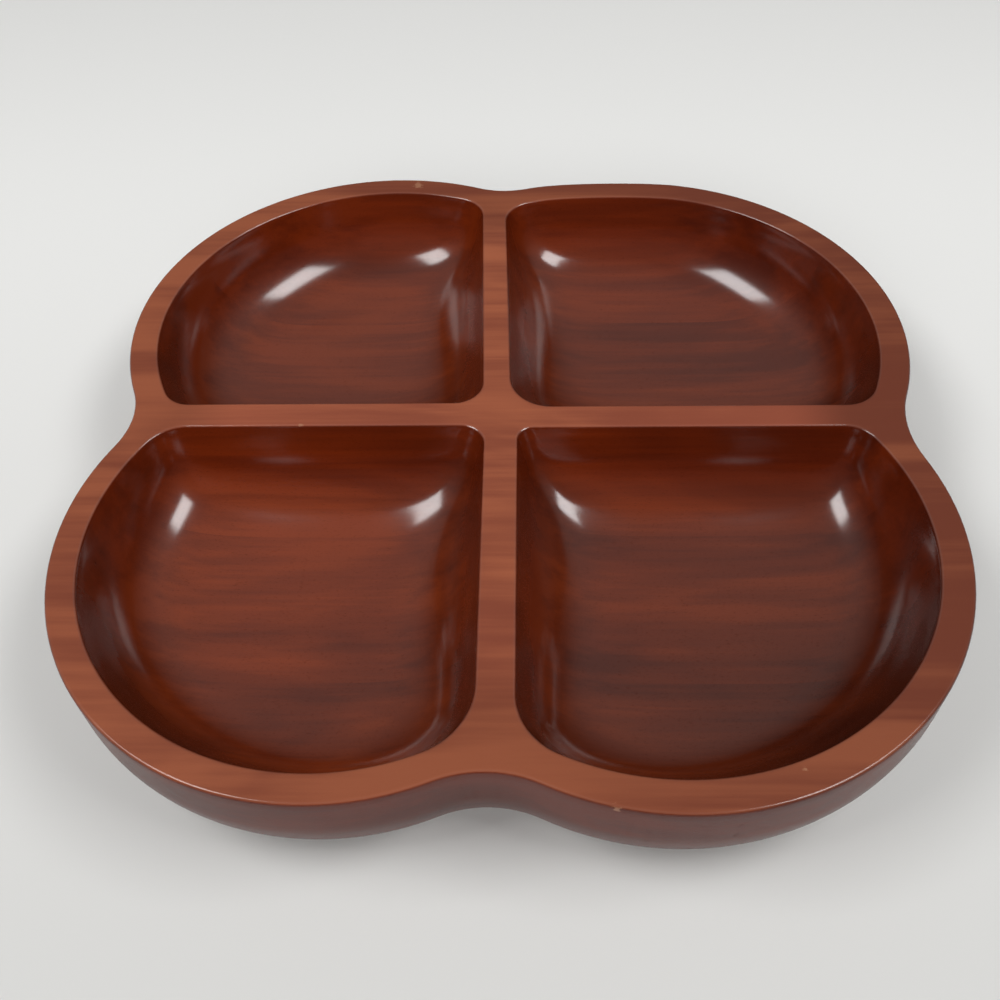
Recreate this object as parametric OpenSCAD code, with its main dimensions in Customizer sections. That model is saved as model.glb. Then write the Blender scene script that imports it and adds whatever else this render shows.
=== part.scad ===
// Divided serving bowl, carved from a thick blank of five boards glued edge to edge.
// Four round lobes meet at notches, and a cross of dividers parts four compartments.
// X runs to the right along the grain, Y to the back and Z up, from the middle of the flat base.

/* [Overall] */
// Width of the bowl across the lobes, the same both ways
overall_w = 330; // [300:1:360]
// Height from the table to the flat rim
bowl_h = 52; // [48:1:60]

/* [Lobes] */
// Mean radius of the four lobes at the rim
lobe_r = 106.5; // [104:0.5:112]
// Width of the flat rim between a compartment and the outside
rim_w = 11.7; // [9:0.1:14]
// How far the back right lobe is drawn out towards the back notch
back_right_stretch = 22; // [0:1:26]
// Radius in the notch at the right
right_notch_r = 49; // [10:1:60]
// Radius in the notch at the back
back_notch_r = 35; // [10:1:80]
// Radius in the notch at the left
left_notch_r = 37; // [10:1:60]
// Radius in the notch at the front
front_notch_r = 42; // [10:1:60]

/* [Side] */
// Height of the upright band below the rim
side_drop = 17; // [10:1:20]
// Radius that carries the side in under the bowl
side_r = 42; // [38:1:60]
// Height of the eased edge where the side meets the base
base_ease_h = 2; // [1:0.5:3]
// Width of the eased edge where the side meets the base
base_ease_w = 5; // [3:0.5:8]
// Width of the eased edge round the rim
rim_ease = 1.2; // [0.5:0.1:2]

/* [Dividers] */
// Mean width of the dividers along their tops
divider_w = 12.5; // [11:0.1:16]
// How far left of the middle the dividers cross
cross_left = 5; // [0:0.1:8]
// Turn of the back divider to the left, in degrees
back_divider_turn = 1.6; // [0:0.1:4]

/* [Compartments] */
// Depth of each compartment below the rim
pocket_depth = 38; // [36:1:42]
// Lean of the compartment walls from upright, in degrees
wall_lean = 11; // [5:1:20]
// Radius between the compartment walls and the floor
floor_r = 35; // [24:1:36]
// Mean corner radius at the rim, next to the crossing
cross_corner_r = 10; // [4:0.5:12]
// Mean corner radius at the rim, next to the side and back notches
notch_corner_r = 14; // [5:0.5:16]
// Mean corner radius at the rim, next to the front notch
front_corner_r = 24; // [14:0.5:26]

/* [Hidden] */
NODES = ["front_board", "front_middle_board", "middle_board", "back_middle_board", "back_board"];

// The lobes and compartments are counted from the right, against the clock: back right, back left,
// front left and front right. Notches and dividers are counted right, back, left and front.
quarters = 4;
quarter_turn = 90;
half_turn = 180;
full_turn = 360;
half_w = overall_w / 2;

// Each lobe's radius as a share of the mean, as carved by eye
lobe_r_shares = [1.024, 1.004, 0.966, 1.007];
// How far each lobe falls short of half the width, across and along, as a share of that half
lobe_short_shares = [[0, 0.03], [0.007, 0], [0, 0.015], [0.019, 0]];
// Width of each lobe's rim as a share of the mean
rim_w_shares = [1.06, 1.02, 0.92, 1];
// Signs of each lobe's place across and along
lobe_signs = [[1, 1], [-1, 1], [-1, -1], [1, -1]];
notch_r = [right_notch_r, back_notch_r, left_notch_r, front_notch_r];
divider_turn = [0, back_divider_turn, 0, 0];
crossing = [-cross_left, 0];
// Each divider's width, and its shift to the left of its way out, as shares of the mean width
divider_w_shares = [0.97, 0.92, 1.04, 1.07];
divider_shift_shares = [-0.07, 0.06, -0.07, 0.06];

// The angles between which the drawn out lobe moves its centre sideways
stretch_from = 78;
stretch_to = 102;

// Corner radii at the rim: by the crossing, at the divider before and at the divider after
corner_r = [
    [cross_corner_r, notch_corner_r, notch_corner_r],
    [cross_corner_r, notch_corner_r, notch_corner_r],
    [cross_corner_r, notch_corner_r, front_corner_r],
    [cross_corner_r, front_corner_r, notch_corner_r]
];
// Each corner's radius as a share of its mean
corner_r_shares = [[1.7, 1.07, 1.07], [1.2, 1.07, 0.93], [1, 1.2, 1.08], [0.65, 0.94, 0.86]];
// How much a corner opens for each unit that its wall has leaned in
corner_growth_share = 0.65;
// The widest corner, as a share of the largest that fits its compartment
corner_limit_share = 0.92;

// Steps along each lobe, notch, compartment arc, corner, side curve and floor curve
lobe_steps = 36;
notch_steps = 5;
pocket_steps = 32;
corner_steps = 7;
side_steps = 6;
floor_steps = 8;

board_w = overall_w / len(NODES);
// Overrun of every cutting shape past what it cuts
overrun = 5;
board_colours = ["#8a4636", "#8f4b39", "#97503a", "#8c4838", "#84443a"];

// General help with angles and directions
function heading(a) = [cos(a), sin(a)];
function to_left(v) = [-v[1], v[0]];
function angle_of(v) = atan2(v[1], v[0]);
function near(a, aim) = a + full_turn * round((aim - a) / full_turn);
function next(k) = (k + 1) % quarters;
function before(k) = (k + quarters - 1) % quarters;
function ramp(x) = min(1, max(0, x));
function joined(lists) = [for (list = lists) for (item = list) item];

// The lobes
function lobe_radius(k) = lobe_r * lobe_r_shares[k];
function lobe_stretch(k) = k == 0 ? back_right_stretch : 0;
function lobe_centre(k) =
    [for (i = [0, 1]) lobe_signs[k][i] * (half_w * (1 - lobe_short_shares[k][i]) - lobe_radius(k))];
function drawn_centre(k) = lobe_centre(k) - [lobe_stretch(k), 0];
function lobe_point(k, a, r) =
    lobe_centre(k) - [lobe_stretch(k) * ramp((a - stretch_from) / (stretch_to - stretch_from)), 0]
    + r * heading(a);

// The round in notch k touches the lobe before it and the lobe after it
function notch_centre(k, inset) =
    let (
        a = drawn_centre(before(k)),
        b = lobe_centre(k),
        ra = lobe_radius(before(k)) - inset + notch_r[k],
        rb = lobe_radius(k) - inset + notch_r[k],
        gap = norm(b - a),
        along = (ra * ra - rb * rb + gap * gap) / (2 * gap),
        across = sqrt(ra * ra - along * along),
        way = (b - a) / gap
    )
    a + along * way - across * to_left(way);

// Outline of the outside, drawn in by inset
function lobe_arc(k, inset) =
    let (
        from = near(angle_of(notch_centre(k, inset) - lobe_centre(k)), quarter_turn * k),
        to = near(angle_of(notch_centre(next(k), inset) - drawn_centre(k)), quarter_turn * (k + 1))
    )
    [for (i = [0 : lobe_steps])
        lobe_point(k, from + (to - from) * i / lobe_steps, lobe_radius(k) - inset)];
function notch_arc(k, inset) =
    let (
        c = notch_centre(k, inset),
        from = near(angle_of(drawn_centre(before(k)) - c), quarter_turn * k + half_turn),
        to = near(angle_of(lobe_centre(k) - c), quarter_turn * k + half_turn)
    )
    [for (i = [1 : notch_steps - 1])
        c + notch_r[k] * heading(from + (to - from) * i / notch_steps)];
function outside_outline(inset) =
    joined([for (k = [0 : quarters - 1])
        joined([lobe_arc(k, inset), notch_arc(next(k), inset)])]);

// Section of the outside, from the base up to the rim: how far in, and how high
side_top = bowl_h - side_drop;
side_sweep = asin(min(1, (side_top - base_ease_h) / side_r));
side_in = side_r * (1 - cos(side_sweep));
outside_section = joined([
    [[side_in + base_ease_w, 0]],
    [for (i = [side_steps : -1 : 0])
        let (a = side_sweep * i / side_steps)
        [side_r * (1 - cos(a)), side_top - side_r * sin(a)]],
    [[0, bowl_h - rim_ease], [rim_ease, bowl_h]]
]);

// Section of a compartment, from the rim down to the floor: how far in, and how deep
floor_in = (pocket_depth - floor_r) * tan(wall_lean) + floor_r / cos(wall_lean);
pocket_section = joined([
    [[0, 0]],
    [for (i = [0 : floor_steps])
        let (a = wall_lean + (quarter_turn - wall_lean) * i / floor_steps)
        [floor_in - floor_r * cos(a), pocket_depth - floor_r * (1 - sin(a))]]
]);

// Compartment k lies between divider k and the next one
function divider_way(k) = heading(quarter_turn * k + divider_turn[k]);
function divider_left(k) = divider_w * (divider_w_shares[k] / 2 + divider_shift_shares[k]);
function divider_right(k) = divider_w * (divider_w_shares[k] / 2 - divider_shift_shares[k]);
function rim_corner(k, i) = corner_r[k][i] * corner_r_shares[k][i];
function pocket_end(from, way, inward, centre, r, corner) =
    let (
        along = (centre - from) * way,
        across = (centre - from) * inward
    )
    from + inward * corner
    + way * (along + sqrt(max(0, (r - corner) * (r - corner) - (across - corner) * (across - corner))));
function corner_size(corner, inset, across, r) =
    min(corner + corner_growth_share * inset, corner_limit_share * (r + across) / 2);
function round_corner(centre, r, from, to) =
    [for (i = [0 : corner_steps]) centre + r * heading(from + (to - from) * i / corner_steps)];
function pocket_outline(k, inset) =
    let (
        way_a = divider_way(k),
        way_b = divider_way(next(k)),
        in_a = to_left(way_a),
        in_b = -to_left(way_b),
        from_a = crossing + in_a * (divider_left(k) + inset),
        from_b = crossing + in_b * (divider_right(next(k)) + inset),
        c_a = lobe_centre(k),
        c_b = drawn_centre(k),
        r = lobe_radius(k) - rim_w * rim_w_shares[k] - inset,
        size_0 = rim_corner(k, 0) + corner_growth_share * inset,
        size_a = corner_size(rim_corner(k, 1), inset, (c_a - from_a) * in_a, r),
        size_b = corner_size(rim_corner(k, 2), inset, (c_b - from_b) * in_b, r),
        slide = (size_0 - (from_a + size_0 * in_a - from_b) * in_b) / (way_a * in_b),
        mid_0 = from_a + size_0 * in_a + slide * way_a,
        mid_a = pocket_end(from_a, way_a, in_a, c_a, r, size_a),
        mid_b = pocket_end(from_b, way_b, in_b, c_b, r, size_b),
        turn = quarter_turn * k,
        arc_from = near(angle_of(mid_a - c_a), turn),
        arc_to = near(angle_of(mid_b - c_b), turn + quarter_turn),
        flat_a = near(angle_of(-in_a), turn - quarter_turn),
        flat_b = near(angle_of(-in_b), turn + half_turn)
    )
    joined([
        [for (i = [1 : pocket_steps - 1])
            lobe_point(k, arc_from + (arc_to - arc_from) * i / pocket_steps, r)],
        round_corner(mid_b, size_b, arc_to, flat_b),
        round_corner(mid_0, size_0, flat_b, flat_a + full_turn),
        round_corner(mid_a, size_a, flat_a, arc_from)
    ]);

// A solid skinned over outlines of equal count, given from the lowest to the highest
module skinned(outlines, heights) {
    count = len(outlines[0]);
    top = len(outlines) - 1;
    points = [for (j = [0 : top]) for (p = outlines[j]) [p[0], p[1], heights[j]]];
    sides = [for (j = [0 : top - 1]) for (i = [0 : count - 1])
        let (a = j * count + i, b = j * count + (i + 1) % count)
        each [[a, a + count, b + count], [a, b + count, b]]];
    floor_face = [for (i = [0 : count - 1]) i];
    top_face = [for (i = [count - 1 : -1 : 0]) top * count + i];
    polyhedron(points, concat([floor_face], sides, [top_face]));
}

module outside() {
    skinned(
        [for (step = outside_section) outside_outline(step[0])],
        [for (step = outside_section) step[1]]
    );
}

// The hollow of one compartment, which opens through the rim
module pocket(k) {
    last = len(pocket_section) - 1;
    hull() {
        skinned(
            [for (i = [last : -1 : 0]) pocket_outline(k, pocket_section[i][0])],
            [for (i = [last : -1 : 0]) bowl_h - pocket_section[i][1]]
        );
    }
    // The eased edge round the compartment's mouth
    hull() {
        skinned(
            [pocket_outline(k, 0), pocket_outline(k, -rim_ease), pocket_outline(k, -rim_ease)],
            [bowl_h - rim_ease, bowl_h, bowl_h + overrun]
        );
    }
}

module carved_form() {
    difference() {
        outside();
        for (k = [0 : quarters - 1]) pocket(k);
    }
}

// One board of the blank, counted from the front, as it is left after the carving
module board(i) {
    color(board_colours[i]) intersection() {
        carved_form();
        translate([-half_w - overrun, i * board_w - half_w, -overrun])
            cube([overall_w + 2 * overrun, board_w, bowl_h + 2 * overrun]);
    }
}

module front_board() {
    board(0);
}

module front_middle_board() {
    board(1);
}

module middle_board() {
    board(2);
}

module back_middle_board() {
    board(3);
}

module back_board() {
    board(4);
}

front_board();
front_middle_board();
middle_board();
back_middle_board();
back_board();
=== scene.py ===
"""Divided serving bowl: smooth carved boards, lacquered wood and a plain studio."""

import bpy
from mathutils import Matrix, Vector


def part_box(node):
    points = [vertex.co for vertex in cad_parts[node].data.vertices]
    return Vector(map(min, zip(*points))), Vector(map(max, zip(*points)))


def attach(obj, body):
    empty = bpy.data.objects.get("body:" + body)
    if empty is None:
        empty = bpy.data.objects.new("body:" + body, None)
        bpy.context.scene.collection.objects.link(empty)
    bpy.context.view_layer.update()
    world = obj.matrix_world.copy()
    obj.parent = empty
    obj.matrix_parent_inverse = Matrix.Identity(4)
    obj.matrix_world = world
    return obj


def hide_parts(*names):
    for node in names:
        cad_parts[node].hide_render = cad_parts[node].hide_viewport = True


bl_info = {
    "name": "Divided Serving Bowl",
    "version": (1, 0, 0),
    "blender": (4, 5, 0),
    "location": "View3D > Sidebar > Bowl",
    "description": "Carves the boards of a four-lobed divided bowl, lacquers them and lights them",
    "category": "Add Mesh",
}

from bisect import bisect
from math import asin, atan2, cos, pi, radians, sin, sqrt, tan

import bmesh
import bpy
from bpy.props import (
    FloatProperty,
    FloatVectorProperty,
    IntProperty,
    PointerProperty,
)
from mathutils import Matrix, Vector
from mathutils.geometry import convex_hull_2d

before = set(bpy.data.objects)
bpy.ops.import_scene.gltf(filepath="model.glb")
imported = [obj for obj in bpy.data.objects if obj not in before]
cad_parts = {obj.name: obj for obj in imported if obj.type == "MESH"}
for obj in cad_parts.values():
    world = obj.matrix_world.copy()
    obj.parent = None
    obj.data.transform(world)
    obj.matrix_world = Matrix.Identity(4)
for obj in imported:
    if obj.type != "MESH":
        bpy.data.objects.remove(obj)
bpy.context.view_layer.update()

BOARDS = ["front_board", "front_middle_board", "middle_board", "back_middle_board", "back_board"]
QUARTERS = 4
LOBE_SIGNS = [(1, 1), (-1, 1), (-1, -1), (1, -1)]

# Steps along the outlines, seen from above
LOBE_STEPS = 72
NOTCH_STEPS = 12
CORNER_STEPS = 14
STRAIGHT_STEPS = 30

# Steps along the sections, from the base to the rim and from the rim to a compartment's floor
EASE_STEPS = 5
FOOT_STEPS = 6
SWEEP_STEPS = 18
BAND_STEPS = 5
WALL_STEPS = 4
ROUND_STEPS = 22
FLOOR_RINGS = (0.9, 0.75, 0.55, 0.3)

# How far each pass of sanding moves a vertex, and the distances that count as none, in metres
SANDING = 0.5
WELD_DISTANCE = 1e-6
CUT_DISTANCE = 1e-7


class BowlSizes(bpy.types.PropertyGroup):
    """Sizes of the bowl. Lobes are counted back right, back left, front left, front right."""

    width: FloatProperty(
        name="Width", description="Width across the lobes, both ways", default=0.330, unit="LENGTH"
    )
    height: FloatProperty(
        name="Height", description="From the table to the rim", default=0.052, unit="LENGTH"
    )
    lobe_radius: FloatProperty(
        name="Lobe radius", description="Mean radius of the lobes", default=0.1065, unit="LENGTH"
    )
    lobe_radius_shares: FloatVectorProperty(
        name="Lobe radius shares", description="Each lobe's radius over the mean", size=4,
        default=(1.024, 1.004, 0.966, 1.007),
    )
    short_across: FloatVectorProperty(
        name="Short across",
        description="Share of the half width that each lobe falls short across", size=4,
        default=(0.0, 0.007, 0.0, 0.019),
    )
    short_along: FloatVectorProperty(
        name="Short along",
        description="Share of the half width that each lobe falls short along", size=4,
        default=(0.03, 0.0, 0.015, 0.0),
    )
    stretch: FloatProperty(
        name="Stretch", description="How far the back right lobe is drawn out to its notch",
        default=0.022, unit="LENGTH",
    )
    notch_radii: FloatVectorProperty(
        name="Notch radii", description="Radii in the right, back, left and front notch", size=4,
        unit="LENGTH", default=(0.049, 0.035, 0.037, 0.042),
    )
    rim: FloatProperty(
        name="Rim", description="Mean width of the flat rim", default=0.0117, unit="LENGTH"
    )
    rim_shares: FloatVectorProperty(
        name="Rim shares", description="Each lobe's rim over the mean", size=4,
        default=(1.06, 1.02, 0.92, 1.0),
    )
    rim_ease: FloatProperty(
        name="Rim easing", description="Radius of the eased rim edges", default=0.0012,
        unit="LENGTH",
    )
    divider: FloatProperty(
        name="Divider", description="Mean width of the dividers", default=0.0125, unit="LENGTH"
    )
    divider_shares: FloatVectorProperty(
        name="Divider shares", description="Each divider's width over the mean", size=4,
        default=(0.97, 0.92, 1.04, 1.07),
    )
    divider_shifts: FloatVectorProperty(
        name="Divider shifts",
        description="Each divider's shift to the left of its way out, over the mean width",
        size=4, default=(-0.07, 0.06, -0.07, 0.06),
    )
    divider_turns: FloatVectorProperty(
        name="Divider turns", description="Turn of each divider", size=4, unit="ROTATION",
        default=(0.0, radians(1.6), 0.0, 0.0),
    )
    cross_left: FloatProperty(
        name="Crossing", description="How far left of the middle the dividers cross",
        default=0.005, unit="LENGTH",
    )
    depth: FloatProperty(
        name="Depth", description="Depth of the compartments", default=0.038, unit="LENGTH"
    )
    wall_lean: FloatProperty(
        name="Wall lean", description="Lean of the compartment walls", default=radians(11),
        unit="ROTATION",
    )
    floor_radius: FloatProperty(
        name="Floor radius", description="Radius between wall and floor", default=0.035,
        unit="LENGTH",
    )
    cross_corners: FloatVectorProperty(
        name="Corners at the crossing", description="Corner radii next to the crossing", size=4,
        unit="LENGTH", default=(0.017, 0.012, 0.010, 0.0065),
    )
    first_corners: FloatVectorProperty(
        name="First corners", description="Corner radii at the divider before each compartment",
        size=4, unit="LENGTH", default=(0.015, 0.015, 0.0168, 0.0226),
    )
    last_corners: FloatVectorProperty(
        name="Last corners", description="Corner radii at the divider after each compartment",
        size=4, unit="LENGTH", default=(0.015, 0.013, 0.026, 0.012),
    )
    corner_growth: FloatProperty(
        name="Corner growth", description="How much a corner opens for each unit its wall leans in",
        default=0.65,
    )
    side_drop: FloatProperty(
        name="Side drop", description="Upright band below the rim", default=0.017, unit="LENGTH"
    )
    side_radius: FloatProperty(
        name="Side radius", description="Radius that carries the side under", default=0.042,
        unit="LENGTH",
    )
    base_ease_height: FloatProperty(
        name="Base easing height", description="Height of the eased base edge", default=0.002,
        unit="LENGTH",
    )
    base_ease_width: FloatProperty(
        name="Base easing width", description="Width of the eased base edge", default=0.005,
        unit="LENGTH",
    )
    smoothing: IntProperty(
        name="Smoothing", description="Passes that sand the carved hollows smooth", default=24,
        min=0, max=80,
    )


class WoodFinish(bpy.types.PropertyGroup):
    """Colours and gloss of the lacquered wood, and the painted shade on its walls and outside."""

    mid: FloatVectorProperty(
        name="Wood", description="Main colour of the stained wood", subtype="COLOR", size=3,
        default=(0.139, 0.0195, 0.0036),
    )
    pale: FloatVectorProperty(
        name="Pale grain", description="Colour of the pale, orange grain", subtype="COLOR", size=3,
        default=(0.194, 0.0286, 0.0046),
    )
    dark: FloatVectorProperty(
        name="Dark grain", description="Colour of the dark grain", subtype="COLOR", size=3,
        default=(0.090, 0.0123, 0.0029),
    )
    rim_mid: FloatVectorProperty(
        name="Rim", description="Main colour of the sanded rim tops", subtype="COLOR", size=3,
        default=(0.212, 0.056, 0.0310),
    )
    rim_pale: FloatVectorProperty(
        name="Pale rim grain", description="Colour of the pale grain on the rim tops",
        subtype="COLOR", size=3, default=(0.270, 0.080, 0.0390),
    )
    worn: FloatVectorProperty(
        name="Worn wood", description="Colour of the small worn marks on the rim", subtype="COLOR",
        size=3, default=(0.42, 0.21, 0.12),
    )
    # Painted shade: steep walls keep only this share of their colour, darker and redder, standing
    # in for the shade that falls on them.
    wall_painted_shade: FloatVectorProperty(
        name="Wall painted shade", description="Share of its colour that the wood keeps on steep walls",
        subtype="COLOR", size=3, default=(0.74, 0.58, 0.44),
    )
    # Painted shade: the hollows' near walls, which face away from the lamps, are darkened further.
    near_wall_painted_shade: FloatProperty(
        name="Near wall painted shade",
        description="Further share on the hollows' walls next to the front",
        default=0.38, min=0.0, max=1.0,
    )
    # Painted shade: the outside of the bowl, which gets less light, is darkened further.
    side_painted_shade: FloatProperty(
        name="Side painted shade", description="Further share on the outside of the bowl", default=0.70,
        min=0.0, max=1.0,
    )
    wood_roughness: FloatProperty(
        name="Wood roughness", description="Roughness of the wood below its clear coat",
        default=0.42, min=0.0, max=1.0,
    )
    coat: FloatProperty(
        name="Coat", description="Weight of the clear coat in the hollows", default=1.0,
        min=0.0, max=1.0,
    )
    side_coat: FloatProperty(
        name="Side coat", description="Weight of the clear coat on the outside", default=0.45,
        min=0.0, max=1.0,
    )
    rim_coat: FloatProperty(
        name="Rim coat", description="Weight of the clear coat on the rim tops", default=0.12,
        min=0.0, max=1.0,
    )
    coat_roughness: FloatProperty(
        name="Coat roughness", description="Roughness of the clear coat", default=0.15,
        min=0.0, max=1.0,
    )


class StudioSettings(bpy.types.PropertyGroup):
    """Camera, floor and lamps."""

    camera_place: FloatVectorProperty(
        name="Camera place", description="Where the camera stands", subtype="XYZ", size=3,
        unit="LENGTH", default=(0.00691, -0.29313, 0.34721),
    )
    camera_pitch: FloatProperty(
        name="Pitch", description="How far the camera looks down", default=radians(49.82),
        unit="ROTATION",
    )
    camera_yaw: FloatProperty(
        name="Yaw", description="Turn of the camera to the left", default=radians(2.503),
        unit="ROTATION",
    )
    camera_roll: FloatProperty(
        name="Roll", description="Roll of the camera", default=radians(-2.095), unit="ROTATION"
    )
    lens: FloatProperty(
        name="Lens", description="Focal length on a 36 mm sensor", default=37.8, unit="CAMERA"
    )
    floor_colour: FloatVectorProperty(
        name="Floor colour", description="Colour of the pale table top", subtype="COLOR", size=3,
        default=(0.66, 0.66, 0.645),
    )
    # Painted light: the table top behind the bowl is painted brighter than near it.
    far_floor_painted_brighter: FloatVectorProperty(
        name="Far floor colour", description="Colour of the table top behind the bowl",
        subtype="COLOR", size=3, default=(0.90, 0.90, 0.885),
    )
    lamp_power: FloatProperty(
        name="Lamp power", description="Power of each soft lamp", default=7.2
    )
    fill_power: FloatProperty(
        name="Fill power", description="Power of the wide, dim lamp at the front", default=115.0
    )
    room: FloatProperty(
        name="Room light", description="Strength of the soft light all round", default=0.17
    )
    ceiling: FloatProperty(
        name="Ceiling", description="Brightness of the room overhead and behind the bowl",
        default=0.31,
    )
    walls: FloatProperty(name="Walls", description="Brightness of the room low down", default=0.05)
    backdrop: FloatProperty(
        name="Backdrop", description="Brightness of the backdrop as seen", default=0.70
    )


def heading(angle):
    return Vector((cos(angle), sin(angle)))


def to_left(way):
    return Vector((-way.y, way.x))


def angle_of(way):
    return atan2(way.y, way.x)


def near(angle, aim):
    """The same angle, in the turn that lies nearest to aim."""
    return angle + 2 * pi * round((aim - angle) / (2 * pi))


def along_arc(centre, radius, start, end, steps):
    return [centre + radius * heading(start + (end - start) * i / steps) for i in range(steps + 1)]


class Plan:
    """Outlines of the bowl and of its compartments, seen from above."""

    stretch_from = radians(78)
    stretch_to = radians(102)
    corner_limit = 0.92

    def __init__(self, sizes):
        self.s = sizes
        self.half = sizes.width / 2
        self.radii = [sizes.lobe_radius * share for share in sizes.lobe_radius_shares]
        self.centres = [
            Vector((
                LOBE_SIGNS[k][0] * (self.half * (1 - sizes.short_across[k]) - self.radii[k]),
                LOBE_SIGNS[k][1] * (self.half * (1 - sizes.short_along[k]) - self.radii[k]),
            ))
            for k in range(QUARTERS)
        ]
        self.crossing = Vector((-sizes.cross_left, 0.0))

    def drawn_by(self, k):
        return self.s.stretch if k == 0 else 0.0

    def drawn_centre(self, k):
        return self.centres[k] - Vector((self.drawn_by(k), 0.0))

    def lobe_point(self, k, angle, radius):
        share = (angle - self.stretch_from) / (self.stretch_to - self.stretch_from)
        share = min(1.0, max(0.0, share))
        share = share * share * (3 - 2 * share)
        return self.centres[k] - Vector((self.drawn_by(k) * share, 0.0)) + radius * heading(angle)

    def notch_centre(self, k, inset):
        before = (k + QUARTERS - 1) % QUARTERS
        a = self.drawn_centre(before)
        b = self.centres[k]
        reach_a = self.radii[before] - inset + self.s.notch_radii[k]
        reach_b = self.radii[k] - inset + self.s.notch_radii[k]
        gap = (b - a).length
        way = (b - a) / gap
        along = (reach_a ** 2 - reach_b ** 2 + gap ** 2) / (2 * gap)
        return a + along * way - sqrt(reach_a ** 2 - along ** 2) * to_left(way)

    def outside(self, inset):
        """The outline of the bowl, drawn in by inset."""
        points = []
        for k in range(QUARTERS):
            after = (k + 1) % QUARTERS
            start = near(angle_of(self.notch_centre(k, inset) - self.centres[k]), pi / 2 * k)
            hollow = self.notch_centre(after, inset)
            end = near(angle_of(hollow - self.drawn_centre(k)), pi / 2 * (k + 1))
            points += [
                self.lobe_point(k, start + (end - start) * i / LOBE_STEPS, self.radii[k] - inset)
                for i in range(LOBE_STEPS + 1)
            ]
            turn = pi / 2 * after + pi
            start = near(angle_of(self.drawn_centre(k) - hollow), turn)
            end = near(angle_of(self.centres[after] - hollow), turn)
            points += along_arc(hollow, self.s.notch_radii[after], start, end, NOTCH_STEPS)[1:-1]
        return points

    def divider_side(self, k, side):
        """How far a divider's left side (1) or right side (-1) lies from its middle line."""
        return self.s.divider * (self.s.divider_shares[k] / 2 + side * self.s.divider_shifts[k])

    def compartment(self, k, inset):
        """The outline of a compartment, drawn in by inset."""
        s = self.s
        after = (k + 1) % QUARTERS
        way_a = heading(pi / 2 * k + s.divider_turns[k])
        way_b = heading(pi / 2 * after + s.divider_turns[after])
        in_a = to_left(way_a)
        in_b = -to_left(way_b)
        from_a = self.crossing + in_a * (self.divider_side(k, 1) + inset)
        from_b = self.crossing + in_b * (self.divider_side(after, -1) + inset)
        centre_a = self.centres[k]
        centre_b = self.drawn_centre(k)
        radius = self.radii[k] - s.rim * s.rim_shares[k] - inset
        growth = s.corner_growth * inset

        def fitted(corner, across):
            return min(corner + growth, self.corner_limit * (radius + across) / 2)

        def end_corner(start, way, inward, centre, corner):
            along = (centre - start).dot(way)
            across = (centre - start).dot(inward)
            reach = sqrt(max(0.0, (radius - corner) ** 2 - (across - corner) ** 2))
            return start + inward * corner + way * (along + reach)

        size_0 = s.cross_corners[k] + growth
        size_a = fitted(s.first_corners[k], (centre_a - from_a).dot(in_a))
        size_b = fitted(s.last_corners[k], (centre_b - from_b).dot(in_b))
        slide = (size_0 - (from_a + size_0 * in_a - from_b).dot(in_b)) / way_a.dot(in_b)
        mid_0 = from_a + size_0 * in_a + slide * way_a
        mid_a = end_corner(from_a, way_a, in_a, centre_a, size_a)
        mid_b = end_corner(from_b, way_b, in_b, centre_b, size_b)
        turn = pi / 2 * k
        arc_from = near(angle_of(mid_a - centre_a), turn)
        arc_to = near(angle_of(mid_b - centre_b), turn + pi / 2)
        flat_a = near(angle_of(-in_a), turn - pi / 2)
        flat_b = near(angle_of(-in_b), turn + pi)

        def straight(p, q):
            return [p.lerp(q, i / STRAIGHT_STEPS) for i in range(1, STRAIGHT_STEPS)]

        corner_b = along_arc(mid_b, size_b, arc_to, flat_b, CORNER_STEPS)
        corner_0 = along_arc(mid_0, size_0, flat_b, flat_a + 2 * pi, CORNER_STEPS)
        corner_a = along_arc(mid_a, size_a, flat_a, arc_from, CORNER_STEPS)
        lobe = [
            self.lobe_point(k, arc_from + (arc_to - arc_from) * i / LOBE_STEPS, radius)
            for i in range(1, LOBE_STEPS)
        ]
        side_b = straight(corner_b[-1], corner_0[0])
        side_a = straight(corner_0[-1], corner_a[0])
        return lobe + corner_b + side_b + corner_0 + side_a + corner_a


def eased(radius):
    """A quarter round from an upright face to a flat one: how far in, and how far below."""
    angles = [pi / 2 * i / EASE_STEPS for i in range(EASE_STEPS + 1)]
    return [(radius * (1 - cos(a)), radius * (1 - sin(a))) for a in angles]


def side_section(s):
    """The outside from the base to the rim: how far in, and how high."""
    top = s.height - s.side_drop
    sweep = asin((top - s.base_ease_height) / s.side_radius)
    side_in = s.side_radius * (1 - cos(sweep))
    foot = (side_in + s.base_ease_width, 0.0)
    bend = (side_in + s.base_ease_height * tan(sweep), 0.0)
    start = (side_in, s.base_ease_height)
    points = []
    for i in range(FOOT_STEPS):
        t = i / FOOT_STEPS
        mix = tuple(zip(((1 - t) ** 2, 2 * t * (1 - t), t * t), (foot, bend, start)))
        points.append(tuple(sum(weight * p[j] for weight, p in mix) for j in (0, 1)))
    for i in range(SWEEP_STEPS, -1, -1):
        a = sweep * i / SWEEP_STEPS
        points.append((s.side_radius * (1 - cos(a)), top - s.side_radius * sin(a)))
    band = s.height - s.rim_ease - top
    points += [(0.0, top + band * i / BAND_STEPS) for i in range(1, BAND_STEPS)]
    points += [(inward, s.height - down) for inward, down in eased(s.rim_ease)]
    return points


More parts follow.
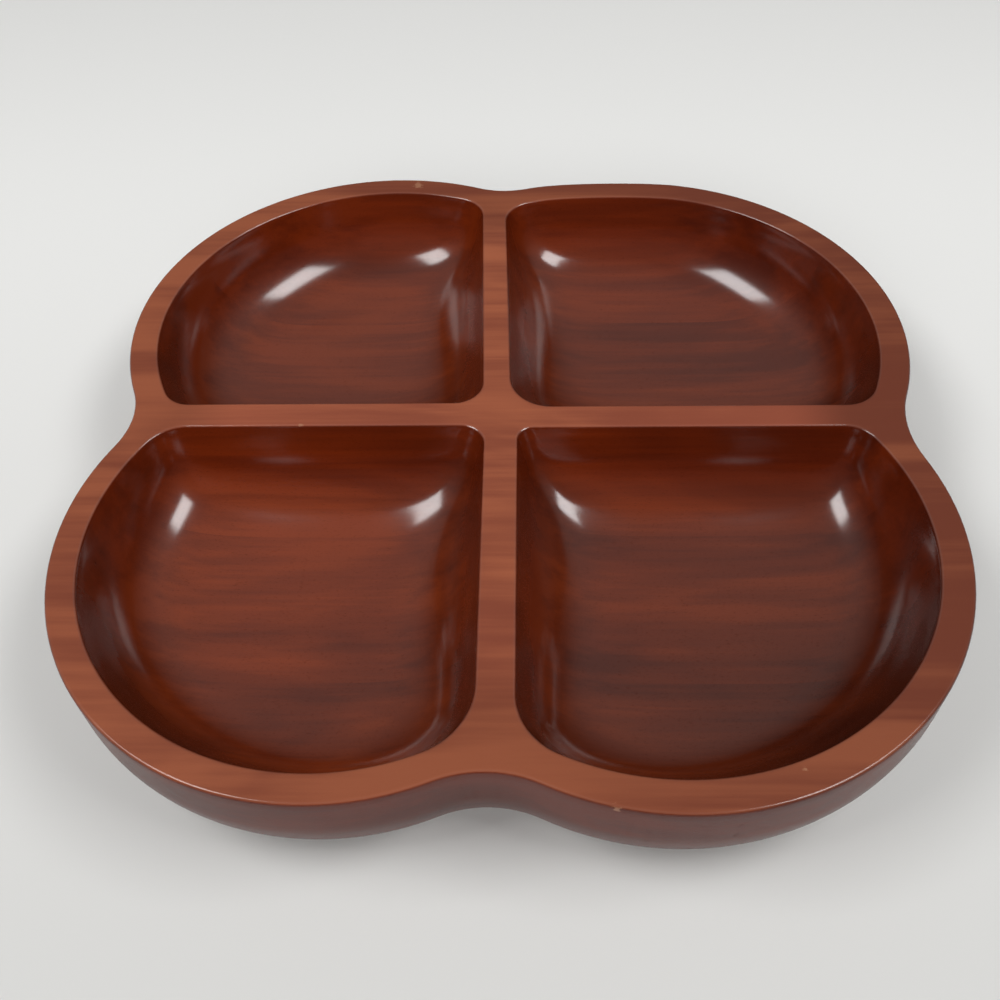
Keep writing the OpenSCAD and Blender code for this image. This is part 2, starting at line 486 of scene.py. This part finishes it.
def hollow_section(s):
    """A compartment from the rim to its floor: how far in, and how deep."""
    points = [(-inward, down) for inward, down in reversed(eased(s.rim_ease))]
    wall = s.depth - s.floor_radius * (1 - sin(s.wall_lean))
    for i in range(1, WALL_STEPS):
        d = s.rim_ease + (wall - s.rim_ease) * i / WALL_STEPS
        points.append((tan(s.wall_lean) * d, d))
    lean_in = (s.depth - s.floor_radius) * tan(s.wall_lean)
    floor_in = lean_in + s.floor_radius / cos(s.wall_lean)
    for i in range(ROUND_STEPS + 1):
        a = s.wall_lean + (pi / 2 - s.wall_lean) * i / ROUND_STEPS
        points.append((floor_in - s.floor_radius * cos(a), s.depth - s.floor_radius * (1 - sin(a))))
    return points


def ring_edges(ring):
    """The edges between each vertex of a ring and the next one."""
    after = ring[1:] + ring[:1]
    return [next(e for e in v.link_edges if e.other_vert(v) is w) for v, w in zip(ring, after)]


def place(ring, points, z):
    for v, p in zip(ring, points):
        v.co = (p.x, p.y, z)


def first_ring(bm, points, z):
    """A ring of vertices at the points. Its radius is only a start, as place moves them all."""
    made = bmesh.ops.create_circle(bm, cap_ends=False, segments=len(points), radius=0.1)
    ring = made["verts"]
    place(ring, points, z)
    return ring


def next_ring(bm, ring, points, z):
    made = bmesh.ops.extrude_edge_only(bm, edges=ring_edges(ring))["geom"]
    fresh = {v for v in made if isinstance(v, bmesh.types.BMVert)}
    ring = [
        next(e.other_vert(v) for e in v.link_edges if e.other_vert(v) in fresh) for v in ring
    ]
    place(ring, points, z)
    return ring


def at_headings(outline, centre, turns):
    """The points of a convex outline that are seen at the given headings from a point inside it."""
    hull = [outline[i] for i in convex_hull_2d(outline)]
    corners = sorted(((angle_of(p - centre), p) for p in hull), key=lambda corner: corner[0])
    angles = [angle for angle, _ in corners]
    points = []
    for turn in turns:
        j = bisect(angles, turn) % len(corners)
        p, q = corners[j - 1][1] - centre, corners[j][1] - centre
        way, side = heading(turn), q - p
        points.append(centre + way * (p.cross(side) / way.cross(side)))
    return points


def carve_hollow(bm, plan, k, margin):
    """Carve a compartment. Gives its ring on the rim top and the vertices to be sanded."""
    s = plan.s
    section = hollow_section(s)
    floor_edge = plan.compartment(k, section[-1][0])
    middle = sum(floor_edge, Vector((0, 0))) / len(floor_edge)
    turns = [angle_of(p - middle) for p in plan.compartment(k, 0)]
    ring = first_ring(bm, plan.compartment(k, -s.rim_ease - margin), s.height)
    mouth, sanded = ring, []
    for step, (inset, down) in enumerate(section):
        points = plan.compartment(k, inset)
        if inset > 0:
            points = at_headings(points, middle, turns)
        ring = next_ring(bm, ring, points, s.height - down)
        if step > EASE_STEPS + 1:
            sanded += ring
    edge = [v.co.xy for v in ring]
    for share in FLOOR_RINGS:
        ring = next_ring(bm, ring, [middle.lerp(p, share) for p in edge], s.height - s.depth)
        sanded += ring
    bmesh.ops.poke(bm, faces=bmesh.ops.edgeloop_fill(bm, edges=ring_edges(ring))["faces"])
    return mouth, sanded


def carve(s):
    """The whole bowl as one smooth closed surface, before it is parted into its boards."""
    plan = Plan(s)
    bm = bmesh.new()
    margin = s.rim_ease / 3

    section = side_section(s)
    base = ring = first_ring(bm, plan.outside(section[0][0]), section[0][1])
    for inset, z in section[1:]:
        ring = next_ring(bm, ring, plan.outside(inset), z)
    rim_rings = [next_ring(bm, ring, plan.outside(s.rim_ease + margin), s.height)]

    hollows = []
    for k in range(QUARTERS):
        mouth, sanded = carve_hollow(bm, plan, k, margin)
        rim_rings.append(mouth)
        hollows += sanded

    top_edges = [e for ring in rim_rings for e in ring_edges(ring)]
    bmesh.ops.triangle_fill(
        bm, edges=top_edges, use_beauty=True, use_dissolve=False, normal=(0, 0, 1)
    )
    bmesh.ops.edgeloop_fill(bm, edges=ring_edges(base))
    for _ in range(s.smoothing):
        bmesh.ops.smooth_vert(
            bm, verts=hollows, factor=SANDING, use_axis_x=True, use_axis_y=True, use_axis_z=True
        )
    bmesh.ops.remove_doubles(bm, verts=bm.verts, dist=WELD_DISTANCE)
    bmesh.ops.recalc_face_normals(bm, faces=bm.faces)
    bm.normal_update()
    return bm


def part_board(whole, cuts):
    """A copy of the bowl with all beyond each cut taken off, closed by flat glue faces."""
    bm = whole.copy()
    glue_faces = []
    for y, way in cuts:
        cut = bmesh.ops.bisect_plane(
            bm, geom=bm.verts[:] + bm.edges[:] + bm.faces[:], dist=CUT_DISTANCE,
            plane_co=(0, y, 0), plane_no=(0, way, 0), clear_outer=True, clear_inner=False,
        )["geom_cut"]
        edges = [e for e in cut if isinstance(e, bmesh.types.BMEdge)]
        for e in edges:
            e.smooth = False
        glue_faces += bmesh.ops.edgeloop_fill(bm, edges=edges)["faces"]
    bmesh.ops.recalc_face_normals(bm, faces=bm.faces)
    glue_faces = set(glue_faces)
    for f in bm.faces:
        f.smooth = f not in glue_faces
    return bm


def board_object(name, bm):
    """The board, whose carved faces keep the normals of the whole bowl across the glue lines."""
    mesh = bpy.data.meshes.new(name)
    layer = bm.verts.layers.float_vector["carved_normal"]
    normals = [
        loop.vert[layer].normalized() if f.smooth else Vector((0, 0, 0))
        for f in bm.faces for loop in f.loops
    ]
    bm.verts.layers.float_vector.remove(layer)
    bm.to_mesh(mesh)
    bm.free()
    mesh.normals_split_custom_set(normals)
    board = bpy.data.objects.new(name, mesh)
    bpy.context.scene.collection.objects.link(board)
    return board


class Wiring:
    """Adds linked nodes to a tree. A value is a number, a tuple or the socket of another node."""

    def __init__(self, tree):
        self.nodes, self.links = tree.nodes, tree.links

    def node(self, kind, **settings):
        n = self.nodes.new(kind)
        for key, value in settings.items():
            setattr(n, key, value)
        return n

    def fill(self, n, names, values):
        """Set or link the named inputs of a node. None leaves an input as it is."""
        for name, value in zip(names, values):
            if isinstance(value, bpy.types.NodeSocket):
                self.links.new(value, n.inputs[name])
            elif value is not None:
                n.inputs[name].default_value = value

    def parts(self, vector):
        n = self.node("ShaderNodeSeparateXYZ")
        self.fill(n, (0,), (vector,))
        return n.outputs[:]

    def maths(self, operation, a, b=None, clamp=False):
        n = self.node("ShaderNodeMath", operation=operation, use_clamp=clamp)
        self.fill(n, (0, 1), (a, b))
        return n.outputs[0]

    def vector_maths(self, operation, a, b=None, result="Vector"):
        n = self.node("ShaderNodeVectorMath", operation=operation)
        self.fill(n, (0, 1), (a, b))
        return n.outputs[result]

    def multiplied(self, colour, share):
        n = self.node("ShaderNodeVectorMath", operation="SCALE")
        self.fill(n, (0, "Scale"), (colour, share))
        return n.outputs[0]

    def weighted(self, *terms):
        """The sum of values that each have a weight."""
        total = None
        for value, weight in terms:
            term = self.maths("MULTIPLY", value, weight)
            total = term if total is None else self.maths("ADD", total, term)
        return total

    def band(self, value, low, high, out_low=0.0, out_high=1.0):
        """A smooth step from out_low, up to low, to out_high, from high on."""
        n = self.node("ShaderNodeMapRange", interpolation_type="SMOOTHSTEP")
        names = ("Value", "From Min", "From Max", "To Min", "To Max")
        self.fill(n, names, (value, low, high, out_low, out_high))
        return n.outputs[0]

    def noise(self, vector, scale, detail, roughness, distortion, squash):
        mapping = self.node("ShaderNodeMapping")
        self.fill(mapping, ("Vector", "Scale"), (vector, squash))
        n = self.node("ShaderNodeTexNoise")
        names = ("Vector", "Scale", "Detail", "Roughness", "Distortion")
        self.fill(n, names, (mapping.outputs[0], scale, detail, roughness, distortion))
        return n.outputs["Fac"]

    def blend(self, share, first, second):
        """A colour between two others."""
        n = self.node("ShaderNodeMix", data_type="RGBA")
        colours = [(*c, 1.0) if isinstance(c, tuple) else c for c in (first, second)]
        self.fill(n, (0, 6, 7), (share, *colours))
        return n.outputs[2]

    def either(self, share, first, second):
        """A number between two others."""
        n = self.node("ShaderNodeMix")
        self.fill(n, (0, 2, 3), (share, first, second))
        return n.outputs[0]


# Inputs and outputs of the grain: name, kind, direction and default
GRAIN_SOCKETS = (
    ("Coordinates", "NodeSocketVector", "INPUT", None),
    ("Board shift", "NodeSocketFloat", "INPUT", 0.0),
    ("Board tone", "NodeSocketFloat", "INPUT", 0.5),
    ("Carved normal", "NodeSocketVector", "INPUT", None),
    ("Colour", "NodeSocketColor", "OUTPUT", None),
    ("Roughness", "NodeSocketFloat", "OUTPUT", None),
    ("Coat Weight", "NodeSocketFloat", "OUTPUT", None),
    ("Height", "NodeSocketFloat", "OUTPUT", None),
)

# Each noise of the wood: scale, detail, roughness, distortion and squash along X, Y and Z
FIGURE = (9.0, 3.0, 0.55, 1.1, (0.55, 2.0, 2.0))
STREAKS = (42.0, 4.0, 0.6, 0.3, (0.10, 2.0, 2.0))
FIBRES = (260.0, 3.0, 0.55, 0.0, (0.06, 1.6, 1.6))
PORES = (2000.0, 1.0, 0.5, 0.0, (0.35, 1.2, 1.2))
MOTTLE = (900.0, 2.0, 0.6, 0.0, (0.5, 1.0, 1.0))
SWELLS = (16.0, 1.0, 0.4, 0.0, (0.8, 1.0, 1.0))

# Weights in the tone of the wood, which darkens to the right
FIGURE_WEIGHT = 0.75
STREAKS_WEIGHT = 0.45
FIBRES_WEIGHT = 0.16
BOARD_WEIGHT = 0.22
RIGHT_WEIGHT = -0.45

# Tones between which the grain passes from one colour to the next
DARK_TO_MID = (0.51, 0.69)
MID_TO_PALE = (0.66, 0.82)
RIM_TONES = (0.56, 0.84)
RIM_DARK_SHARE = 0.80

# Pores: the noise between which they open, their share and shade, and what they take from the coat
PORE_BAND = (0.60, 0.72)
PORE_SHARE = 0.25
PORE_SHADE = 0.4
PORE_COAT_LOSS = 0.35

# Share of their colour that the floors keep, darker towards the front right: its mean, its slopes
# along Y and X, the slopes' twist, and its limits
FLOOR_SHARE_MEAN = 0.86
FLOOR_SHARE_Y = 0.12
FLOOR_SHARE_X = -0.94
FLOOR_SHARE_TWIST = 13.3
FLOOR_SHARE_LIMITS = (0.55, 1.08)

# How far up a face looks where it passes from wall to floor, and so on for other kinds of face
WALL_TO_FLOOR = (0.35, 0.95)
UPRIGHT_TO_ROUND = (0.25, 0.60)
EASED_TO_FLAT = (0.93, 0.995)

# How far back a wall looks as it takes the near walls' painted shade, and how far out the side
# looks
AWAY_TO_NEAR = (-0.10, 0.70)
INSIDE_TO_OUTSIDE = (0.05, 0.08)

# Depth below the rim at which the rim's colour begins and is full, in metres
RIM_DEPTHS = (0.0006, 0.0001)

# Distance from the middle between which the dividers end, in metres, and the shades of the rim tops
DIVIDER_ENDS = (0.105, 0.135)
DIVIDER_SHADE = 1.26
DIVIDER_SHADE_OUTWARD = 2.8
EDGE_SHADE = 0.98
EDGE_SHADE_RIGHT = 0.75

# Small worn marks on the rim: place and radius in metres
WORN_MARKS = [
    ((-0.0477, 0.1598, 0.0520), 0.0030),
    ((-0.0835, -0.0049, 0.0519), 0.0013),
    ((0.0896, -0.1502, 0.0520), 0.0009),
    ((0.0324, -0.1627, 0.0510), 0.0016),
]
WORN_SHARE = 0.5
WORN_FADE = (0.4, 1.1)
WORN_RAGGED = (0.35, 0.65, 0.7, 1.9)

# Change of roughness with the streaks, and heights of the fibres and pores over the swells
STREAK_ROUGHNESS = (0.35, 0.65, -0.03, 0.04)
SWELL_HEIGHT = 1.0
FIBRE_HEIGHT = 0.010
PORE_HEIGHT = -0.025

# Each board's own tone, and the shift of its grain from one board to the next
BOARD_TONES = (0.50, 0.56, 0.62, 0.47, 0.52)
BOARD_SHIFT = 0.37

# The wood's relief and the glassiness of the wood and of its coat
BUMP_STRENGTH = 0.35
BUMP_DISTANCE = 0.002
WOOD_IOR = 1.5
WOOD_SPECULAR = 0.04
COAT_IOR = 1.7


class StainedGrain(Wiring):
    """The nodes inside the grain group. The grain runs along X."""

    def __init__(self, group, finish, height):
        super().__init__(group)
        self.finish = finish
        inside = self.node("NodeGroupInput").outputs
        self.at = inside["Coordinates"]
        self.x, self.y, z = self.parts(self.at)
        _, self.back, self.up = self.parts(inside["Carved normal"])

        shift = self.node("ShaderNodeCombineXYZ")
        self.fill(shift, (0, 2), (inside["Board shift"], inside["Board shift"]))
        on_board = self.vector_maths("ADD", self.at, shift.outputs[0])
        self.streaks = self.noise(on_board, *STREAKS)
        self.fibres = self.noise(on_board, *FIBRES)
        self.swells = self.noise(on_board, *SWELLS)
        self.pits = self.band(self.noise(on_board, *PORES), *PORE_BAND)

        tone_of_board = self.maths("SUBTRACT", inside["Board tone"], 0.5)
        self.tone = self.weighted(
            (self.noise(self.at, *FIGURE), FIGURE_WEIGHT), (self.streaks, STREAKS_WEIGHT),
            (self.fibres, FIBRES_WEIGHT), (tone_of_board, BOARD_WEIGHT), (self.x, RIGHT_WEIGHT),
        )
        self.flat_place = self.vector_maths("MULTIPLY", self.at, (1, 1, 0))
        outward = self.vector_maths(
            "DOT_PRODUCT", inside["Carved normal"], self.flat_place, "Value"
        )
        self.outside_wall = self.band(outward, *INSIDE_TO_OUTSIDE)
        self.rim_top = self.band(z, *(height - depth for depth in RIM_DEPTHS))

    def wood_colour(self):
        """The stained grain with its pores, with painted shade on the walls and the floors darker
        towards the front right.
        """
        finish = self.finish
        to_mid, to_pale = self.band(self.tone, *DARK_TO_MID), self.band(self.tone, *MID_TO_PALE)
        colour = self.blend(to_mid, tuple(finish.dark), tuple(finish.mid))
        colour = self.blend(to_pale, colour, tuple(finish.pale))
        pore_colour = tuple(c * PORE_SHADE for c in finish.dark)
        colour = self.blend(self.maths("MULTIPLY", self.pits, PORE_SHARE), colour, pore_colour)

        # The floors darken towards the front right.
        slope_x = self.maths("MULTIPLY", self.y, FLOOR_SHARE_TWIST)
        slope_x = self.maths("ADD", slope_x, FLOOR_SHARE_X)
        floor_share = self.weighted((self.x, slope_x), (self.y, FLOOR_SHARE_Y))
        floor_share = self.maths("ADD", floor_share, FLOOR_SHARE_MEAN)
        floor_share = self.maths("MAXIMUM", floor_share, FLOOR_SHARE_LIMITS[0])
        floor_share = self.maths("MINIMUM", floor_share, FLOOR_SHARE_LIMITS[1])

        # Painted shade on the steep walls, darker still on the near walls and on the outside.
        near_share = self.band(self.back, *AWAY_TO_NEAR, 1.0, finish.near_wall_painted_shade)
        side_change = self.maths("SUBTRACT", finish.side_painted_shade, near_share)
        side_share = self.maths("MULTIPLY", self.outside_wall, side_change)
        on_wall = self.vector_maths("MULTIPLY", colour, tuple(finish.wall_painted_shade))
        on_wall = self.multiplied(on_wall, self.maths("ADD", near_share, side_share))
        steep = self.band(self.up, *WALL_TO_FLOOR, 1.0, 0.0)
        return self.blend(steep, self.multiplied(colour, floor_share), on_wall)

    def rim_colour(self):
        """The sanded rim tops: the dividers paler outward, the edge darker to the right."""
        dark = tuple(c * RIM_DARK_SHARE for c in self.finish.rim_mid)
        colour = self.blend(self.band(self.tone, *RIM_TONES), dark, tuple(self.finish.rim_pale))
        from_middle = self.vector_maths("LENGTH", self.flat_place, None, "Value")
        on_dividers = self.band(from_middle, *DIVIDER_ENDS, 1.0, 0.0)
        outward = self.maths("MULTIPLY", self.maths("ABSOLUTE", self.x), DIVIDER_SHADE_OUTWARD)
        divider_shade = self.maths("ADD", outward, DIVIDER_SHADE)
        to_right = self.maths("MULTIPLY", self.x, EDGE_SHADE_RIGHT)
        edge_shade = self.maths("SUBTRACT", EDGE_SHADE, to_right)
        change = self.maths("SUBTRACT", divider_shade, edge_shade)
        shade = self.maths("ADD", self.maths("MULTIPLY", on_dividers, change), edge_shade)
        return self.multiplied(colour, shade)

    def worn_share(self):
        """How far the wood is worn: ragged spots at the worn marks."""
        ragged = self.band(self.noise(self.at, *MOTTLE), *WORN_RAGGED)
        worn = None
        for mark, radius in WORN_MARKS:
            away = self.vector_maths("DISTANCE", self.at, mark, "Value")
            away = self.maths("MULTIPLY", away, ragged)
            spot = self.band(away, *(radius * fade for fade in WORN_FADE), WORN_SHARE, 0.0)
            worn = spot if worn is None else self.maths("MAXIMUM", worn, spot)
        return worn

    def coat_weight(self):
        """The clear coat: full in the hollows, thinner outside and thinnest on the flat rim."""
        finish = self.finish
        upright = self.band(self.up, *UPRIGHT_TO_ROUND, 1.0, 0.0)
        side = self.maths("MULTIPLY", self.outside_wall, upright)
        coat = self.band(side, 0.0, 1.0, finish.coat, finish.side_coat)
        flat_rim = self.maths("MULTIPLY", self.rim_top, self.band(self.up, *EASED_TO_FLAT))
        to_rim = self.maths("MULTIPLY", flat_rim, self.maths("SUBTRACT", finish.rim_coat, coat))
        lost = self.maths("MULTIPLY", self.pits, PORE_COAT_LOSS)
        return self.maths("SUBTRACT", self.maths("ADD", coat, to_rim), lost, clamp=True)

    def finish_group(self):
        colour = self.blend(self.rim_top, self.wood_colour(), self.rim_colour())
        colour = self.blend(self.worn_share(), colour, tuple(self.finish.worn))
        rough = self.band(self.streaks, *STREAK_ROUGHNESS)
        rough = self.maths("ADD", rough, self.finish.wood_roughness, clamp=True)
        relief = self.weighted(
            (self.swells, SWELL_HEIGHT), (self.fibres, FIBRE_HEIGHT), (self.pits, PORE_HEIGHT)
        )
        outside = self.node("NodeGroupOutput")
        names = ("Colour", "Roughness", "Coat Weight", "Height")
        self.fill(outside, names, (colour, rough, self.coat_weight(), relief))


def grain_group(finish, height):
    """Stained hardwood with its grain along X: colour with painted shade on the walls, roughness,
    clear coat and relief.
    """
    group = bpy.data.node_groups.new("Stained hardwood grain", "ShaderNodeTree")
    for name, kind, direction, default in GRAIN_SOCKETS:
        socket = group.interface.new_socket(name=name, in_out=direction, socket_type=kind)
        if default is not None:
            socket.default_value = default
    StainedGrain(group, finish, height).finish_group()
    return group


def lacquered_wood(board, group, index, finish):
    """Lacquered wood for one board, which has its own run of grain and its own tone."""
    material = bpy.data.materials.new("Lacquered wood, " + board.replace("_", " "))
    material.use_nodes = True
    wiring = Wiring(material.node_tree)
    wiring.nodes.clear()
    coordinates = wiring.node("ShaderNodeTexCoord").outputs
    grain = wiring.node("ShaderNodeGroup", node_tree=group)
    wiring.fill(
        grain, ("Coordinates", "Board shift", "Board tone", "Carved normal"),
        (coordinates["Object"], BOARD_SHIFT * index, BOARD_TONES[index], coordinates["Normal"]),
    )
    bump = wiring.node("ShaderNodeBump")
    wiring.fill(
        bump, ("Strength", "Distance", "Height"),
        (BUMP_STRENGTH, BUMP_DISTANCE, grain.outputs["Height"]),
    )
    shader = wiring.node("ShaderNodeBsdfPrincipled")
    wiring.fill(
        shader, ("IOR", "Specular IOR Level", "Coat IOR", "Coat Roughness"),
        (WOOD_IOR, WOOD_SPECULAR, COAT_IOR, finish.coat_roughness),
    )
    wiring.fill(
        shader, ("Base Color", "Roughness", "Coat Weight", "Normal"),
        (*grain.outputs[:3], bump.outputs["Normal"]),
    )
    result = wiring.node("ShaderNodeOutputMaterial")
    wiring.fill(result, ("Surface",), (shader.outputs[0],))
    return material


# Each soft lamp's name, place and size in metres, and share of the lamp power
SOFT_LAMPS = (
    ("Soft lamp right", (0.76, -0.21, 1.22), (0.72, 0.44), 1.10),
    ("Soft lamp left", (-0.78, -0.22, 1.22), (0.70, 0.46), 1.06),
)
FILL_LAMP = ("Wide front lamp", (-0.60, -4.00, 2.90), (4.0, 2.4))
LAMP_AIM = (0.0, 0.0, 0.02)

# The table top: half its width and the part over which its colour changes, in metres. Its far part
# is painted brighter, painted light that stands in for light falling more strongly behind the bowl.
TABLE_HALF_WIDTH = 6.0
TABLE_ROUGHNESS = 0.75
NEAR_TO_FAR = (-0.30, 0.30)

# The room: its colour, and how far back and up a ray looks where it turns brighter
ROOM_COLOUR = (1.0, 0.99, 0.97, 1.0)
FRONT_TO_BACK = (-1.0, 0.45)
WALLS_TO_CEILING = (0.20, 0.72)

SENSOR_WIDTH = 36.0
CLIP_START = 0.01


def lay_floor(studio):
    mesh = bpy.data.meshes.new("table_top")
    bm = bmesh.new()
    bmesh.ops.create_grid(bm, x_segments=1, y_segments=1, size=TABLE_HALF_WIDTH)
    bm.to_mesh(mesh)
    bm.free()
    floor = bpy.data.objects.new("table_top", mesh)
    bpy.context.scene.collection.objects.link(floor)
    material = bpy.data.materials.new("Pale table top")
    material.use_nodes = True
    wiring = Wiring(material.node_tree)
    _, y, _ = wiring.parts(wiring.node("ShaderNodeTexCoord").outputs["Object"])
    near_colour, far_colour = tuple(studio.floor_colour), tuple(studio.far_floor_painted_brighter)
    # Painted light: the table top brightens from near to far.
    colour = wiring.blend(wiring.band(y, *NEAR_TO_FAR), near_colour, far_colour)
    shader = wiring.nodes["Principled BSDF"]
    wiring.fill(shader, ("Base Color", "Roughness"), (colour, TABLE_ROUGHNESS))
    mesh.materials.append(material)


def soft_lamp(name, place_at, size, power):
    data = bpy.data.lights.new(name, "AREA")
    data.shape = "RECTANGLE"
    data.size, data.size_y = size
    data.energy = power
    lamp = bpy.data.objects.new(name, data)
    lamp.location = place_at
    way = Vector(LAMP_AIM) - Vector(place_at)
    lamp.rotation_euler = way.to_track_quat("-Z", "Y").to_euler()
    bpy.context.scene.collection.objects.link(lamp)
    return lamp


def room_light(scene, studio):
    """Soft light all round, a pale backdrop to see, and a graded room for gloss to mirror."""
    world = bpy.data.worlds.new("Soft room light")
    world.use_nodes = True
    wiring = Wiring(world.node_tree)
    _, back, up = wiring.parts(wiring.node("ShaderNodeTexCoord").outputs["Generated"])
    ray = wiring.node("ShaderNodeLightPath").outputs
    overhead = wiring.band(back, *FRONT_TO_BACK, studio.walls, studio.ceiling)
    mirrored = wiring.band(up, *WALLS_TO_CEILING, studio.walls, overhead)
    strength = wiring.either(ray["Is Glossy Ray"], studio.room, mirrored)
    strength = wiring.either(ray["Is Transmission Ray"], strength, studio.backdrop)
    strength = wiring.either(ray["Is Camera Ray"], strength, studio.backdrop)
    wiring.fill(wiring.nodes["Background"], ("Color", "Strength"), (ROOM_COLOUR, strength))
    scene.world = world


def stand_camera(scene, studio):
    pitch, yaw, roll = studio.camera_pitch, studio.camera_yaw, studio.camera_roll
    turn = Matrix.Rotation(yaw, 3, "Z")
    right = turn @ Vector((1, 0, 0))
    ahead = turn @ Vector((0, cos(pitch), -sin(pitch)))
    up = turn @ Vector((0, sin(pitch), cos(pitch)))
    rolled_right = cos(roll) * right + sin(roll) * up
    rolled_up = -sin(roll) * right + cos(roll) * up
    data = bpy.data.cameras.new("Camera")
    data.sensor_width = SENSOR_WIDTH
    data.sensor_fit = "HORIZONTAL"
    data.lens = studio.lens
    data.clip_start = CLIP_START
    camera = bpy.data.objects.new("Camera", data)
    axes = Matrix((rolled_right, rolled_up, -ahead)).transposed().to_4x4()
    camera.matrix_world = Matrix.Translation(studio.camera_place) @ axes
    scene.collection.objects.link(camera)
    scene.camera = camera


class BOWL_OT_carve_boards(bpy.types.Operator):
    """Carve the bowl from its blank and part it into the five glued boards"""

    bl_idname = "bowl.carve_boards"
    bl_label = "Carve Boards"

    def execute(self, context):
        sizes = context.scene.bowl_sizes
        whole = carve(sizes)
        layer = whole.verts.layers.float_vector.new("carved_normal")
        for v in whole.verts:
            v[layer] = v.normal
        finish = context.scene.bowl_finish
        group = grain_group(finish, sizes.height)
        for index, node in enumerate(BOARDS):
            low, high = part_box(node)
            cuts = [(low[1], -1)] if index > 0 else []
            cuts += [(high[1], 1)] if index < len(BOARDS) - 1 else []
            board = board_object("carved_" + node, part_board(whole, cuts))
            board.data.materials.append(lacquered_wood(node, group, index, finish))
            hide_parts(node)
            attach(board, "root")
        whole.free()
        return {"FINISHED"}


class BOWL_OT_set_stage(bpy.types.Operator):
    """Lay the pale floor, hang the soft lamps and stand the camera where the photo was taken"""

    bl_idname = "bowl.set_stage"
    bl_label = "Set Stage"

    def execute(self, context):
        scene = context.scene
        studio = scene.bowl_studio
        lay_floor(studio)
        for name, place_at, size, share in SOFT_LAMPS:
            soft_lamp(name, place_at, size, studio.lamp_power * share)
        fill = soft_lamp(*FILL_LAMP, studio.fill_power)
        fill.visible_glossy = False
        room_light(scene, studio)
        stand_camera(scene, studio)
        scene.view_settings.view_transform = "Standard"
        return {"FINISHED"}


class BOWL_PT_panel(bpy.types.Panel):
    """The bowl's sizes, finish and studio"""

    bl_idname = "BOWL_PT_panel"
    bl_label = "Divided Serving Bowl"
    bl_space_type = "VIEW_3D"
    bl_region_type = "UI"
    bl_category = "Bowl"

    def draw(self, context):
        scene = context.scene
        groups = (
            ("Sizes", scene.bowl_sizes),
            ("Finish", scene.bowl_finish),
            ("Studio", scene.bowl_studio),
        )
        for title, settings in groups:
            box = self.layout.box()
            box.label(text=title)
            for name in settings.__annotations__:
                box.prop(settings, name)
        for operator in (BOWL_OT_carve_boards, BOWL_OT_set_stage):
            self.layout.operator(operator.bl_idname)


CLASSES = (
    BowlSizes,
    WoodFinish,
    StudioSettings,
    BOWL_OT_carve_boards,
    BOWL_OT_set_stage,
    BOWL_PT_panel,
)


def register():
    for cls in CLASSES:
        bpy.utils.register_class(cls)
    bpy.types.Scene.bowl_sizes = PointerProperty(type=BowlSizes)
    bpy.types.Scene.bowl_finish = PointerProperty(type=WoodFinish)
    bpy.types.Scene.bowl_studio = PointerProperty(type=StudioSettings)


def unregister():
    del bpy.types.Scene.bowl_studio
    del bpy.types.Scene.bowl_finish
    del bpy.types.Scene.bowl_sizes
    for cls in reversed(CLASSES):
        bpy.utils.unregister_class(cls)


def main():
    register()
    bpy.ops.bowl.carve_boards()
    bpy.ops.bowl.set_stage()


if __name__ == "__main__":
    main()
